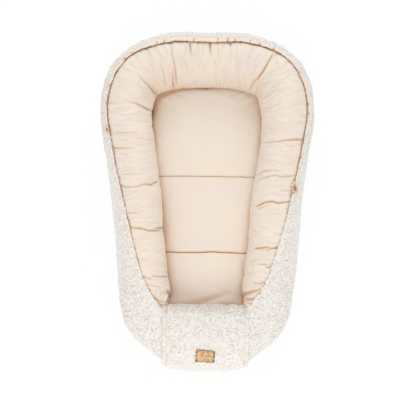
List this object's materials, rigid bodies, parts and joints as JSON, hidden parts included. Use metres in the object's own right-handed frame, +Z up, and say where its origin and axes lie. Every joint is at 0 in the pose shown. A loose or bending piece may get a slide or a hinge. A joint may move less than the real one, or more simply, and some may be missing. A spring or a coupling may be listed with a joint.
{
  "type": "infant lounger",
  "caption": "Nest-shaped infant lounger: a soft padded roll bent round a three-section quilted pad, curly pile outside, smooth cotton inside, a sleeve over the foot.",
  "frame": {"origin": "middle of the footprint on the floor", "axes": "+Z up; +Y towards the head end; +X to the right as seen in the picture, from the foot"},
  "size_m": [0.5438, 0.9029, 0.156],
  "materials": {
    "cotton": "smooth pale peach-beige cotton sateen, finely creased",
    "curly_pile": "off-white curly teddy pile, curls about 6 mm",
    "fibre_filling": "white polyester fibre",
    "elastic": "covered elastic cord",
    "thread": "matt sewing thread in the shade of a seam",
    "dark_thread": "dark brown waxed thread",
    "label_leather": "bare golden-tan leather patch, slightly creased",
    "zip_tape": "woven tape",
    "zip_teeth": "matt moulded teeth",
    "zip_metal": "satin nickel"
  },
  "bodies": {
    "nest": {"roll_filling": "fibre_filling", "roll_lining": "cotton", "outer_wall": "curly_pile", "roll_end_right": "cotton", "roll_end_left": "cotton", "rim_casing": "cotton", "rim_elastic": "elastic", "foot_sleeve": "curly_pile", "foot_sleeve_lining": "cotton", "hem_stitching_right": "thread", "hem_stitching_left": "thread", "label": "label_leather", "label_stitch_left_top": "dark_thread", "label_stitch_left_middle": "dark_thread", "label_stitch_left_bottom": "dark_thread", "label_stitch_right_top": "dark_thread", "label_stitch_right_middle": "dark_thread", "label_stitch_right_bottom": "dark_thread", "base_panel": "curly_pile", "base_wadding": "fibre_filling", "floor_lining": "cotton", "pad_cover_top": "cotton", "pad_cover_bottom": "cotton", "pad_filling_foot": "fibre_filling", "pad_filling_middle": "fibre_filling", "pad_filling_head": "fibre_filling", "pad_stitching_head": "thread", "pad_stitching_foot": "thread", "zip_tape_head": "zip_tape", "zip_tape_foot": "zip_tape", "zip_teeth_head": "zip_teeth", "zip_teeth_foot": "zip_teeth", "zip_stop_closed": "zip_metal", "zip_stop_open": "zip_metal"},
    "slider": {"zip_slider": "zip_metal"},
    "pull": {"zip_pull": "zip_metal"}
  },
  "joints": [
    {"name": "zip_slide", "type": "slide", "parent": "nest", "child": "slider", "axis": [-1, 0, 0], "range_m": [0, 0.157]},
    {"name": "zip_pull_hinge", "type": "hinge", "parent": "slider", "child": "pull", "pos_m": [0.0787, 0.17, 0.00185], "axis": [0, -1, 0], "range_deg": [0, 175]}
  ]
}
